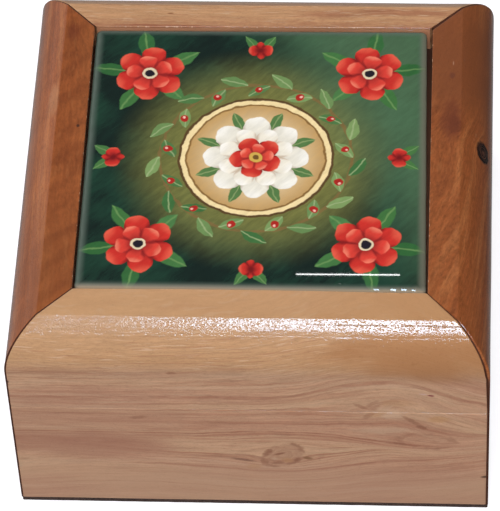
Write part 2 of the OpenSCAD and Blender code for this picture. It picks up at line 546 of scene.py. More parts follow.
# Height of the lacquer's unevenness, and the colours of painted shade along the recess's rim and in a corner
SKIN = 0.045
RIM_SHADE = (0.05, 0.018, 0.01)
CORNER_SHADE = (0.07, 0.02, 0.009)


def along_grain(p, long, across, shift, detail, rough=0.5):
    """Noise drawn out along the grain lines."""
    return p.noise(p.along / long, p.s / across, p.seed + shift, detail, rough)


def along_side(p, long, across, detail, rough=0.5):
    """Noise drawn out along the side."""
    return p.noise(p.along / long, p.z / across, p.depth / across + p.seed, detail, rough)


def board_place(p, look, side):
    """Adds where a point lies: along the side, in from its face, past the recess's rim, and on the edge."""
    p.seed = look.seed
    axis = 0 if side in ("front", "back") else 1
    p.along = (p.x, p.y)[axis]
    p.depth = inset_from(side, p.x, p.y)
    first_at, last_at = (RECESS[corner][axis] for corner in SIDES[side][3:])
    first_wide, last_wide = (width_at(side, corner) for corner in SIDES[side][3:])
    share = (p.along - first_at) / (last_at - first_at)
    straight = p.depth - first_wide - share * (last_wide - first_wide)
    p.to_rim = straight - share * (1.0 - share) * (4 * BOW[side])
    above = p.smooth(p.z, look.top_from - 1, look.top_from + 1)
    p.arc = p.smooth(p.depth, arris_in + 0.2, arris_in - 0.2) * above


def add_grain(p, look):
    """Adds s, a number that is the same all along a grain line, and how far the lines wander."""
    # Each knot draws the height in towards it, so that the grain lines spread round it
    rise = p.z
    for x, z, reach_x, reach_z, pull in look.knots:
        dx = (p.along - x) / reach_x
        dz = rise - z
        spread = dz / reach_z
        near = p.math("EXPONENT", -1.0 * (dx * dx + spread * spread))
        rise = rise - dz * near * pull

    # The number grows evenly between two guide curves, and by one each millimetre beyond them
    growth = rise
    if look.guides:
        lower_s, points = look.guides[0]
        lower = p.curve(p.along, points)
        growth = p.math("MINIMUM", rise - lower, 0.0) + lower_s
        for upper_s, points in look.guides[1:]:
            upper = p.curve(p.along, points)
            growth = growth + p.clamp((rise - lower) / (upper - lower)) * (upper_s - lower_s)
            lower = upper
            lower_s = upper_s
        growth = growth + p.math("MAXIMUM", rise - lower, 0.0)
    p.wander = p.noise(p.along / 26, p.z / 12 + p.seed, p.depth / 12, 1.0) - 0.5
    tremble = p.noise(p.along / 3.0, p.z / 1.4 + p.seed, p.depth / 1.4, 2.0) - 0.5
    sloping = growth + p.depth * look.tilt + p.along * look.slope
    p.s = sloping + p.wander * look.wander + tremble * 0.45


def grain_colour(p, look):
    """The broad tone, then growth bands, then the named grain lines."""
    tone = p.smooth(p.noise(p.along / 45, p.s / 4.5 + p.seed, p.seed, 2.0), 0.36, 0.64)
    bands = p.noise(p.along / 30, p.s / look.band + p.seed, p.seed + 3.1, 3.0, 0.66)
    p.low = p.smooth(p.z, 6.0, 11.0) * 0.5 + 0.5
    p.high = p.smooth(p.z + p.wander * 2.0, look.top_from, look.top_from + 3.5)
    p.colour = p.mix(tone, look.warm, look.cool)
    p.paint(p.smooth(bands, 0.52, 0.64) * p.low * look.line_share, look.line)
    p.paint(p.smooth(bands, 0.48, 0.36) * look.pale_share, look.pale)
    if look.top:
        p.paint(p.high * 0.85, look.top)
    patchy = along_grain(p, 4.0, 0.9, 1.7, 2.0)
    for centre, half, strength, start, end in look.lines:
        mark = bell(p, p.s, centre, half) * p.smooth(patchy, 0.1, 0.6) * strength
        mark = mark * p.smooth(p.along, start - 4, start + 4) * p.smooth(p.along, end + 4, end - 4)
        p.paint(mark, look.line)


def add_fibres(p, look):
    """Fine dark dashes, pale streaks that are painted glints, painted light and shade on the rounded edge,
    and the curly figure of the darker boards.
    """
    p.fine = along_grain(p, 7.0, 0.4, 7.7, 3.0, 0.65)
    fibre = along_grain(p, 0.9, 0.2, 9.9, 2.0, 0.6)
    dashes = p.smooth(along_grain(p, 5.0, 0.3, 4.4, 1.0), 0.56, 0.72)
    glint_streaks = p.smooth(along_grain(p, 3.0, 0.24, 14.4, 1.0), 0.58, 0.74)
    pores = p.smooth(along_side(p, 0.8, 0.18, 1.0), 0.62, 0.76)
    p.calm = p.low - p.high * look.top_calm * p.smooth(p.depth, 2.0, 4.6)
    grit = (p.fine - 0.5) * look.fine + (fibre - 0.5) * look.fibre - pores * look.pores
    shade = 1.0 + grit * p.calm
    if look.mottle:
        warp = (p.noise(p.along / 5, p.depth / 3, p.seed, 1.0) - 0.5) * 3.0
        across = p.along - p.depth * 0.75 + warp
        curl = p.smooth(p.noise(across / 2.8, (p.depth - p.z) / 11.0, p.seed + 5.5, 1.0), 0.36, 0.68)
        cloud = p.noise(p.along / 8.0, (p.depth - p.z) / 8.0, p.seed + 2.5, 2.0)
        curly = look.mottle * (1.0 - p.arc * 0.6)
        p.paint(curl * curly, look.line)
        shade = shade + (cloud - 0.5) * curly
    # Painted light and shade: each board's rounded edge is made lighter or darker by its look's arc factor
    p.brighten(shade * (1.0 + p.arc * (look.arc - 1.0)))
    p.paint(dashes * p.calm * look.dash_share, look.line)
    # Painted glints: pale streaks along the grain, strongest on the upper part
    p.paint(glint_streaks * (p.high * 0.7 + 0.3) * p.calm * look.flash_share, look.pale)


def add_knots(p, look):
    """Rings within a darker, broken rim."""
    for x, z, inside, half_long, half_high, lean, heart_share, rim_share in look.cores:
        dz = p.z - z
        if inside is not None:
            side_z = p.math("SIGN", dz)
            dz = p.root(dz * dz + (p.depth - inside) * (p.depth - inside)) * side_z
        u, v = turned_axes(p.along - x, dz, lean)
        warp = p.noise(p.along / 0.9, p.z / 0.6, p.depth / 0.9 + p.seed, 2.0) - 0.5
        r = p.root((u / half_long) * (u / half_long) + (v / half_high) * (v / half_high)) + warp * 0.5
        rings = p.smooth(p.noise(r * 4.5, p.seed, u * 0.3, 2.0), 0.4, 0.6)
        heart = p.mix(rings, look.heart, look.rim)
        p.paint(p.smooth(r, 1.1, 0.8) * heart_share, heart)
        patches = along_side(p, 1.8, 1.8, 1.0)
        broken = p.smooth(patches, look.rim_break, 0.6)
        p.paint(bell(p, r, 0.93, look.rim_wide) * broken * rim_share, look.rim)


def add_spots(p, look):
    """Stains, flecks and specks with ragged outlines, each round a point of the surface, and some painted
    shade.
    """
    for x, z, inside, half_long, half_high, lean, tint, strength in look.spots:
        u, v = turned_axes(p.along - x, p.z - z, lean)
        u, v, w = u / half_long, v / half_high, (p.depth - inside) / half_high
        long_grit = max(0.8, half_long * 0.4)
        high_grit = long_grit * 0.56
        ragged = p.noise(p.along / long_grit, p.z / high_grit, p.depth / high_grit + x, 3.0)
        mark = p.smooth(u * u + v * v + w * w + (ragged - 0.5) * 1.5, 1.4, 0.0)
        p.paint(mark * strength, tint)


def add_wear_and_painted_light(p, look, side):
    """A darker band, pale chips and glints along the recess's rim, painted light and shade on the recess's
    walls, at the left rim and in a corner, and a painted highlight along the seam.
    """
    blotchy = p.noise(p.along / 0.9, p.to_rim / 0.5, p.seed, 2.0)
    # A reddish band along the recess's rim, darker towards the rim
    stain = p.smooth(p.to_rim + blotchy * 3.0, -1.0, 1.8) * p.smooth(p.z, top_z - 1, top_z - 0.5)
    p.paint(stain * look.rim_stain, look.line)
    # Pale flecks along the recess's rim: chipped lacquer, and painted glints of the rounded rim
    chips_and_glints = p.smooth(p.noise(p.along / 0.7, p.seed, 0.5, 2.0), 0.58, 0.7)
    at_rim = p.smooth(p.to_rim, -0.16, -0.05) * p.smooth(p.z, top_z - 0.35, top_z - 0.1)
    p.paint(at_rim * chips_and_glints * 0.8, look.chip)
    # The recess's inner wall: painted shade, a dark brown, on the front and right, and painted light, a pale
    # tone, on the back and left, where the wall lies in shade
    above_panel = p.smooth(p.z, panel_high[2] - 0.2, panel_high[2])
    recess_wall = p.smooth(p.z, top_z - 0.15, top_z - 0.5) * above_panel
    inner = p.smooth(p.to_rim, -0.06, -0.01) * recess_wall
    p.paint(inner * look.inner, look.inner_tint)
    # Painted shade: a dark line along the inner rim, beside the gap round the tile
    rim_shade_line = p.smooth(p.to_rim + (blotchy - 0.5) * 0.5, -0.28, -0.02) * look.rim_dark
    p.paint(rim_shade_line, RIM_SHADE)
    # Painted shade on the right board's end beside the front corner, below the rounded edge
    if look.corner_stain:
        corner_shade_mask = p.smooth(p.along, 0.4 - half_d, 0.1 - half_d) * p.smooth(p.z, 31.0, 29.0)
        p.paint(corner_shade_mask * look.corner_stain, CORNER_SHADE)
    # Painted highlight: a pale line along the seam, where the rounded rims would catch the light
    seam_glint = bell(p, p.z, seam_z + 0.06, 0.13) * p.smooth(p.depth, 0.3, 0.15) * look.seam
    if side == "front":
        gaps = p.smooth(p.noise(p.along / 2.2, p.seed, 1.5, 1.0), 0.4, 0.55)
        whole = p.smooth(p.along, 26, 29)
        seam_glint = seam_glint * (whole + (1.0 - whole) * gaps * p.smooth(p.along, -4, 18) * 0.55)
    p.paint(seam_glint, look.chip)


def lacquer(p, look):
    """Grain felt through the lacquer, the lacquer's own skin, grooves, and pits over the pores."""
    peel = along_side(p, 0.5, 0.24, 2.0, 0.6)
    drops = along_side(p, 0.26, 0.17, 0.0)
    pit = p.math("MAXIMUM", drops - 0.57, 0.0)
    pitted = p.arc * p.smooth(p.z, top_z - 1.7, top_z - 0.9) * 0.75 + 0.25
    drawn = along_side(p, 5, 0.8, 1.0)
    skin = peel * 0.45 + drawn * 0.5 - pit * pitted * 4.2 + (p.fine - 0.5) * 0.2
    for z, half, deep, start, end, dark in look.grooves:
        broken = p.smooth(p.noise(p.along / 1.3, z, p.seed, 2.0), 0.34, 0.5)
        groove = bell(p, p.z + (drawn - 0.5) * 0.06, z, half) * broken
        groove = groove * p.smooth(p.along, start - 5, start + 5) * p.smooth(p.along, end + 2, end - 2)
        skin = skin - groove * deep
        # Painted shade: the groove darkens the colour beneath it
        p.brighten(1.0 - groove * dark)
    p.brighten(1.0 - pit * p.calm * 0.4)
    return p.finish(
        Roughness=0.42 + (p.fine - 0.5) * 0.2,
        Normal=p.bump(skin, SKIN / 3),
        IOR=1.46,
        Specular_IOR_Level=0.1,
        Coat_Weight=1.0,
        Coat_Roughness=look.gloss,
        Coat_IOR=1.5,
        Coat_Normal=p.bump(skin, SKIN),
    )


def wood(name, side, look):
    """Lacquered wood. Its grain lines run along the side, follow guide curves and bend round knots."""
    p = Pattern(name)
    look = SimpleNamespace(**look)
    board_place(p, look, side)
    add_grain(p, look)
    grain_colour(p, look)
    add_fibres(p, look)
    add_knots(p, look)
    add_spots(p, look)
    add_wear_and_painted_light(p, look, side)
    return lacquer(p, look)


# The looks of the boards. In their tables, lengths are in millimetres, along and up in the frame, and
# depth is in from the outer face:
# grooves in the lacquer: up, half width, depth, from and to along, and darkness, which is painted shade in
# the groove
# knots, which bend the grain: along, up, reach along, reach up, pull
# guides: a grain line's number, and (along, up) of points on it, its two ends first
# lines: a grain line's number, half width, strength, from and to along
# cores of knots: along, up, depth or None for all depths, half length, half height, lean, and the
# strength of the heart and of the rim
# spots: along, up, depth, half length, half height, lean, colour, strength
RED_LINE = (0.3, 0.11, 0.058)
BROWN = (0.245, 0.098, 0.05)
GOLD = (0.43, 0.215, 0.09)
PALE = (0.55, 0.37, 0.245)

FRONT_GUIDES = [
    (8.9, [(-33, 8.6), (33, 12.8), (-14, 9.5), (-7, 8.9), (2, 8.2), (9, 8.7), (18, 10.5), (26, 11.4)]),
    (
        12.3,
        [
            (-33, 14.2), (33, 13.4), (-21, 13.2), (-14, 12.3), (-5, 11.8),
            (4, 11.2), (11, 11.9), (18, 13.6), (26, 12.8),
        ],
    ),
    (
        16.7,
        [(-33, 16.4), (33, 15.6), (-10, 16.4), (5, 17.1), (12, 16.6), (17, 15.1), (24, 14.0), (29, 14.7)],
    ),
    (19.4, [(-33, 19.2), (33, 17.0), (-1, 19.3), (8, 19.3), (15, 20.1), (20, 20.6), (24, 18.8), (28, 17.2)]),
    (21.8, [(-33, 21.8), (33, 18.4), (0, 21.7), (6, 22.1), (15, 22.5), (22, 23.4), (26, 22.2), (29, 20.4)]),
    (25.0, [(-33, 24.9), (33, 24.2), (-4, 25.1), (6, 25.5), (12, 28.0), (18, 29.2), (22, 28.6), (27, 26.2)]),
    (30.4, [(-33, 30.3), (33, 28.9), (-8, 30.5), (2, 31.4), (10, 33.0), (18, 33.9), (24, 32.5), (28, 30.8)]),
]
FRONT_LINES = [
    (30.4, 0.65, 0.2, -40, 2),
    (27.6, 0.3, 0.35, -40, 40),
    (25.0, 0.5, 0.6, -40, 40),
    (23.6, 0.22, 0.35, -33, 5),
    (22.3, 0.22, 0.5, -20, 12),
    (21.3, 0.22, 0.5, -40, 16),
    (19.4, 0.25, 0.5, -6, 30),
    (17.0, 0.22, 0.9, -40, 26),
    (16.5, 0.4, 0.6, -40, 29),
    (15.7, 0.25, 0.4, -8, 24),
    (14.3, 2.3, 0.8, -40, -14),
    (12.6, 0.25, 0.7, -26, 20),
    (12.1, 0.5, 0.5, -20, 20),
    (9.0, 0.35, 0.6, -16, 40),
    (6.4, 0.25, 0.35, -5, 30),
    (4.4, 0.25, 0.25, -33, 33),
]
FRONT_SPOTS = [
    (-15.3, 20.3, 0, 1.5, 0.4, 10, BROWN, 0.75),
    (-10.3, 30.4, 0, 0.8, 0.35, 0, BROWN, 0.6),
    (2.2, 12.3, 0, 1.2, 0.6, 60, BROWN, 0.8),
    (3.9, 12.2, 0, 1.1, 0.25, 20, BROWN, 0.9),
    (6.5, 10.9, 0, 0.8, 0.5, 60, BROWN, 0.7),
    (3.7, 10.1, 0, 0.9, 0.35, 10, BROWN, 0.6),
    (5.0, 10.7, 0, 0.9, 0.7, 0, GOLD, 0.55),
    (3.2, 11.0, 0, 0.6, 0.4, 0, PALE, 0.3),
    (-1.2, 10.7, 0, 1.9, 0.32, -12, (0.2, 0.085, 0.05), 0.85),
    (0.3, 9.2, 0, 1.2, 0.6, 0, GOLD, 0.5),
    (7.9, 11.3, 0, 0.8, 0.4, -15, (0.22, 0.1, 0.04), 0.9),
    (-24.0, 14.0, 0, 14, 3.4, -1, (0.35, 0.155, 0.095), 0.5),
    (-24.0, 18.0, 0, 16, 10.0, 0, (0.37, 0.185, 0.112), 0.4),
    (19.3, 21.9, 0, 2.2, 1.3, -20, PALE, 0.5),
    (15.4, 23.5, 0, 1.2, 0.4, -30, BROWN, 0.55),
    (17.0, 24.2, 0, 1.4, 0.4, 40, BROWN, 0.4),
    (16.4, 21.4, 0, 1.1, 0.5, 40, BROWN, 0.55),
    (17.9, 21.9, 0, 1.5, 0.7, 20, GOLD, 0.45),
    (20.5, 24.4, 0, 2.6, 0.9, 0, GOLD, 0.35),
    (22.6, 20.1, 0, 2.3, 0.42, -43, BROWN, 0.6),
    (23.7, 18.9, 0, 1.0, 0.42, -25, BROWN, 0.7),
    (26.0, 20.8, 0, 1.7, 0.8, 0, (0.44, 0.22, 0.085), 0.6),
    (18.5, 18.1, 0, 4.8, 0.8, 0, (0.5, 0.33, 0.21), 0.5),
    (22.6, 32.6, 0.4, 0.32, 0.28, 0, (0.07, 0.04, 0.02), 0.9),
    (25.0, 26.2, 0, 0.5, 0.16, -10, (0.2, 0.01, 0.03), 1.0),
    (23.9, 26.5, 0, 0.6, 0.16, -10, (0.6, 0.42, 0.42), 0.5),
    # A golden-brown patch on the right of the rounded edge: the wood's colour near the knot, and painted
    # shade
    (25.5, 33.6, 1.3, 16, 4.6, 0, (0.345, 0.155, 0.06), 0.9),
    (27.0, 37.2, 6.0, 17, 5.0, 0, (0.44, 0.22, 0.095), 0.6),
    # Painted shade: darker towards the foot of the front wall
    (0.0, 2.5, 0, 75, 8.0, 0, (0.4, 0.222, 0.14), 0.42),
    (32.7, 7.5, 0, 0.8, 0.35, 0, (0.08, 0.03, 0.012), 0.95),
    # Painted shade of a small chip at the left end of the front, which is not modelled
    (-33.0, 27.8, 0, 0.4, 0.8, 0, (0.05, 0.016, 0.01), 1.0),
]
FRONT_LOOK = dict(
    seed=11.3,
    tilt=0.33,
    slope=0.0,
    wander=1.0,
    band=1.5,
    warm=(0.505, 0.299, 0.174),
    cool=(0.46, 0.246, 0.146),
    line=RED_LINE,
    line_share=0.32,
    pale=(0.56, 0.37, 0.235),
    pale_share=0.35,
    top=(0.512, 0.286, 0.139),
    top_from=29.3,
    # A darker rounded edge: painted shade
    arc=0.888,
    top_calm=0.6,
    fine=0.64,
    fibre=0.34,
    pores=0.1,
    dash_share=0.28,
    flash_share=0.7,
    mottle=0.0,
    heart=(0.37, 0.19, 0.11),
    rim=BROWN,
    rim_break=0.4,
    rim_wide=0.24,
    chip=(0.74, 0.54, 0.38),
    # Strength of the painted highlight along the seam
    seam=0.75,
    rim_stain=0.0,
    rim_dark=0.0,
    # Painted shade on the recess's inner wall
    inner=0.6,
    inner_tint=(0.13, 0.05, 0.028),
    corner_stain=0.0,
    gloss=0.06,
    grooves=[
        (36.76, 0.06, 1.1, 10, 32, 0.4),
        (35.8, 0.08, 0.8, -4, 31, 0.0),
        (35.7, 0.1, 1.1, 14, 24, 0.0),
    ],
    knots=[(4.4, 12.0, 4.4, 2.4, 1.0), (18.5, 23.0, 5.5, 3.0, 0.8)],
    guides=FRONT_GUIDES,
    lines=FRONT_LINES,
    cores=[(4.4, 11.9, None, 3.3, 2.2, 42, 0.4, 0.65), (24.3, 15.6, None, 4.3, 1.8, -4, 0.12, 0.4)],
    spots=FRONT_SPOTS,
)

BACK_LOOK = dict(
    FRONT_LOOK,
    seed=42.9,
    top_from=28.0,
    top=(0.5, 0.268, 0.131),
    top_calm=0.0,
    rim_stain=0.5,
    chip=(0.64, 0.42, 0.3),
    # Painted light on the recess's inner wall
    inner=0.8,
    inner_tint=(0.66, 0.3, 0.17),
    guides=[],
    lines=[
        (46.0, 0.35, 0.9, -40, 40),
        (43.2, 1.0, 0.7, 6, 40),
        (40.6, 0.5, 0.4, -40, 10),
        (31.0, 0.5, 0.5, -40, 40),
        (17.0, 0.8, 0.5, -40, 40),
    ],
    tilt=1.0,
    wander=2.0,
    knots=[(-12.0, 16.0, 8.0, 4.0, 0.9), (17.0, 9.0, 5.0, 2.5, 0.95)],
    cores=[(17.0, 9.0, None, 1.7, 0.9, 5, 0.6, 0.8)],
    spots=[
        (-13.5, 37.2, 6.2, 0.5, 0.16, 0, (0.2, 0.07, 0.03), 0.9),
        (-8.0, 15.4, 0, 1.6, 0.35, 10, BROWN, 0.6),
        (21.0, 25.0, 0, 1.1, 0.3, -8, BROWN, 0.5),
    ],
)

LEFT_LOOK = dict(
    FRONT_LOOK,
    seed=71.2,
    tilt=0.55,
    slope=0.03,
    wander=1.6,
    warm=(0.325, 0.096, 0.026),
    cool=(0.28, 0.076, 0.019),
    line=(0.155, 0.036, 0.009),
    line_share=0.3,
    pale=(0.42, 0.155, 0.05),
    pale_share=0.4,
    top=None,
    fine=0.7,
    fibre=0.9,
    pores=0.2,
    rim_dark=0.4,
    # Painted light on the recess's inner wall
    inner=0.8,
    inner_tint=(0.7, 0.34, 0.2),
    top_calm=0.25,
    dash_share=0.2,
    flash_share=0.25,
    mottle=0.54,
    # A lighter rounded edge: painted light
    arc=1.11,
    grooves=[],
    heart=(0.2, 0.07, 0.03),
    chip=(0.66, 0.42, 0.26),
    guides=[],
    lines=[(17.0, 0.8, 0.5, -40, 40)],
    knots=[(-6.0, 14.0, 6.0, 3.0, 0.95)],
    cores=[(-6.0, 14.0, None, 1.9, 1.0, 4, 0.6, 0.9)],
    spots=[
        (5.3, 37.2, 7.7, 0.3, 0.24, 0, (0.05, 0.02, 0.012), 0.9),
        (10.5, 37.0, 3.7, 3.2, 1.0, 0, (0.5, 0.24, 0.11), 0.4),
        (-24.0, 37.2, 6.0, 15, 6.0, 0, (0.21, 0.058, 0.016), 0.55),
        (23.0, 37.2, 5.8, 1.8, 1.0, 0, (0.15, 0.03, 0.01), 0.5),
        (14.0, 9.0, 0, 1.3, 0.3, 0, (0.12, 0.03, 0.012), 0.6),
    ],
)

RIGHT_LOOK = dict(
    LEFT_LOOK,
    seed=93.4,
    tilt=0.45,
    slope=0.16,
    mottle=0.15,
    arc=0.97,
    corner_stain=0.85,
    rim_dark=0.0,
    # Painted shade on the recess's inner wall
    inner=0.6,
    inner_tint=(0.13, 0.05, 0.028),
    top_calm=-0.1,
    warm=(0.315, 0.096, 0.027),
    cool=(0.275, 0.078, 0.021),
    knots=[(3.3, 34.2, 4.2, 2.4, 0.95), (-17.0, 12.0, 7.0, 3.0, 0.9)],
    cores=[(3.5, 34.4, 1.3, 1.6, 1.35, 0, 1.0, 1.0)],
    rim=(0.008, 0.004, 0.003),
    rim_break=0.0,
    rim_wide=0.36,
    heart=(0.12, 0.04, 0.02),
    spots=[
        # Painted shade: the right board darkens towards the rear
        (20.0, 36.5, 4.5, 13.0, 9.0, 0, (0.19, 0.057, 0.019), 0.85),
        (5.6, 35.9, 2.2, 0.8, 0.3, 0, (0.5, 0.3, 0.17), 0.6),
        (4.6, 36.1, 2.5, 0.5, 0.25, 0, (0.5, 0.3, 0.17), 0.5),
        (7.0, 37.2, 5.8, 4.0, 1.8, 0, (0.13, 0.03, 0.013), 0.66),
        (6.3, 37.2, 5.4, 1.9, 0.9, 0, (0.12, 0.028, 0.012), 0.6),
        (15.5, 37.2, 5.8, 0.6, 0.5, 0, (0.1, 0.03, 0.02), 0.5),
        (17.8, 37.2, 5.7, 0.4, 0.1, 0, (0.5, 0.3, 0.2), 0.5),
        (-14.0, 11.5, 0, 1.5, 0.3, 6, (0.12, 0.03, 0.012), 0.6),
    ],
)


def panel_wood(name):
    """Plain sanded wood of the two panels, unlacquered."""
    p = Pattern(name)
    s = p.y + (p.noise(p.x / 30, p.y / 14, 2.0, 1.0) - 0.5) * 5
    bands = p.noise(p.x / 55, s / 2.6, 5.0, 3.0, 0.6)
    fine = p.noise(p.x / 9, s / 0.3, 8.0, 2.0, 0.6)
    p.colour = p.mix(p.smooth(bands, 0.42, 0.66), (0.36, 0.2, 0.105), (0.25, 0.125, 0.062))
    p.brighten(0.85 + fine * 0.3)
    edge = p.math("MAXIMUM", abs(p.x), abs(p.y)) + (p.noise(p.x / 1.5, p.y / 1.5, 3.0, 2.0) - 0.5) * 1.5
    ooze = p.smooth(edge, tile_high[0] - 1.6, tile_high[0] - 0.8)
    ooze = ooze * p.smooth(p.z, panel_high[2] - 0.3, panel_high[2] - 0.1)
    p.paint(ooze, (0.15, 0.063, 0.036))
    return p.finish(Roughness=0.62, Normal=p.bump(fine, 0.03), Specular_IOR_Level=0.3)


def glue(name):
    """Dark brown dried glue and stain in the mitres."""
    p = Pattern(name)
    lump = p.noise(p.x / 0.5, p.y / 0.5, p.z / 0.5, 2.0)
    p.colour = p.mix(lump, (0.03, 0.009, 0.004), (0.1, 0.03, 0.012))
    return p.finish(Roughness=0.7, Normal=p.bump(lump, 0.03), Specular_IOR_Level=0.15)


def brass(name):
    """Drawn brass, a little tarnished in patches."""
    p = Pattern(name)
    tarnish = p.smooth(p.noise(p.x / 2.5, p.y / 2.5, p.z / 2.5, 3.0), 0.42, 0.7)
    drawn = p.noise(p.x / 4, p.y / 0.08, p.z / 0.08, 1.0)
    p.colour = p.mix(tarnish, (0.74, 0.5, 0.2), (0.42, 0.26, 0.1))
    rough = 0.26 + tarnish * 0.22 + (drawn - 0.5) * 0.14
    return p.finish(Metallic=1.0, Roughness=rough, Normal=p.bump(drawn, 0.004))


def nickel(name):
    """Nickel plate with fine turning marks."""
    p = Pattern(name)
    blotchy = p.noise(p.x / 0.7, p.y / 0.7, p.z / 0.7, 3.0)
    p.colour = p.mix(blotchy, (0.6, 0.58, 0.55), (0.74, 0.72, 0.69))
    return p.finish(Metallic=1.0, Roughness=0.16 + blotchy * 0.14, Normal=p.bump(blotchy, 0.003))


def felt(name, dark, light, sheen):
    """Matted wool felt: tangled fibres, a soft sheen and flecks of paler wool."""
    p = Pattern(name)
    tangle = p.noise(p.x / 0.22, p.y / 0.22, p.z / 0.22, 3.0, 0.7)
    wisps = p.noise(p.x / 1.4, p.y / 0.3, p.z / 0.5, 2.0) * 0.5
    wisps = wisps + p.noise(p.x / 0.3, p.y / 1.4, 3.0, 2.0) * 0.5
    cloud = p.noise(p.x / 9, p.y / 9, p.z / 9, 1.0)
    height = tangle * 0.6 + wisps * 0.4
    p.colour = p.mix(p.smooth(height, 0.34, 0.66), dark, light)
    p.brighten(0.8 + cloud * 0.4)
    return p.finish(
        Roughness=0.95,
        Normal=p.bump(height, 0.12),
        Specular_IOR_Level=0.1,
        Sheen_Weight=sheen,
        Sheen_Roughness=0.5,
    )


# The tile's picture: a generic floral medallion

# Softness of a painted outline
PAINT_EDGE = 0.12
DISC_EDGE = 0.1


def flower(p, x, y, size, petals, turn, tints):
    """Paints a flower with overlapping petals. tints: its shadow, its petals and its rim."""
    shadow, petal, rim = tints
    angle = p.math("ARCTAN2", y, x) + turn
    r = p.root(x * x + y * y)
    lobe = abs(p.math("COSINE", angle * (petals / 2)))
    reach = size * (0.66 + 0.34 * p.math("POWER", lobe, 0.6))
    inside = p.smooth(reach - r, -PAINT_EDGE, PAINT_EDGE)
    share = r / size
    crease = p.smooth(lobe, 0.55, 0.05) * p.smooth(share, 0.15, 0.5)
    body = p.mix(p.smooth(share, 0.1, 0.75), shadow, petal)
    body = p.mix(p.smooth(share - 0.3 * (1.0 - lobe), 0.68, 0.98) * 0.75, body, rim)
    body = p.mix(crease * 0.8, body, shadow)
    p.paint(inside, body)


def disc(p, x, y, size, tint):
    r = p.root(x * x + y * y)
    p.paint(p.smooth(r, size + DISC_EDGE, size - DISC_EDGE), tint)


def leaf(p, u, w, half_long, half_wide, tint, vein):
    """Paints a pointed leaf that lies along u."""
    span_u = u / half_long
    shape = 1.0 - span_u * span_u - abs(w) / half_wide
    body = p.mix(p.smooth(abs(w), half_wide * 0.22, 0.0) * 0.7, tint, vein)
    p.paint(p.smooth(shape, -PAINT_EDGE, PAINT_EDGE), body)


# The picture sits a little askew on the tile
TILE_TURN = 0.6
TILE_HALF = 24.0

# Sizes of the picture
MEDALLION_R = 11.0
WREATH_R = 13.4
WREATH_LEAVES = 26
CORNER_AT = 15.6
BUD_AT = 20.0

# Its colours. Those of a flower are its shadow, its petals and its rim
DARK_GREEN = (0.006, 0.016, 0.013)
MOSS_GREEN = (0.012, 0.045, 0.028)
RED = (0.56, 0.03, 0.022)
CREAM = (0.76, 0.57, 0.33)
RED_FLOWER = ((0.17, 0.008, 0.01), RED, (0.78, 0.12, 0.07))
CORNER_HEART = ((0.2, 0.01, 0.012), (0.66, 0.05, 0.035), (0.86, 0.24, 0.15))
WHITE_FLOWER = ((0.42, 0.33, 0.24), (0.8, 0.76, 0.66), (0.93, 0.9, 0.84))
WHITE_HEART = ((0.5, 0.36, 0.25), (0.84, 0.78, 0.66), (0.95, 0.92, 0.87))
MIDDLE_HEART = ((0.24, 0.012, 0.014), (0.72, 0.07, 0.045), (0.88, 0.3, 0.2))

# The tile's edge seen through the glaze, in painted light and shade: shaded at the left and right, lit at
# the front and at its foot
CLAY_SHADED_LEFT = (0.1, 0.135, 0.11)
CLAY_SHADED_RIGHT = (0.165, 0.157, 0.12)
CLAY_LIT_FRONT = (0.26, 0.24, 0.19)
CLAY_LIT_FRONT_FOOT = (0.42, 0.32, 0.22)

# Leaves behind each corner flower: direction in degrees, distance and colour
CORNER_LEAVES = [
    (8, 5.6, (0.03, 0.12, 0.035)),
    (82, 5.6, (0.035, 0.13, 0.04)),
    (150, 5.2, (0.055, 0.17, 0.05)),
    (-60, 5.2, (0.05, 0.16, 0.045)),
    (225, 4.6, (0.07, 0.19, 0.06)),
]

# Beads of thick glaze on the tile's front edge: where each lies and half its length. The rest lies level
GLAZE_BEADS = [(17.4, 0.55), (19.7, 0.6), (21.15, 0.55), (22.45, 0.35)]


def tile_inset(p):
    """Distance in from the nearest edge of the tile."""
    insets = []
    for first, second, axis, way in (
        ("front_left", "front_right", 1, 1),
        ("back_left", "back_right", 1, -1),
        ("front_left", "back_left", 0, 1),
        ("front_right", "back_right", 0, -1),
    ):
        start, end = TILE[first], TILE[second]
        slope = (end[axis] - start[axis]) / (end[1 - axis] - start[1 - axis])
        across, along = ((p.x, p.y), (p.y, p.x))[axis]
        line = (along - start[1 - axis]) * slope + start[axis]
        insets.append((across - line) * way)
    nearest = insets[0]
    for inset in insets[1:]:
        nearest = p.math("MINIMUM", nearest, inset)
    return nearest


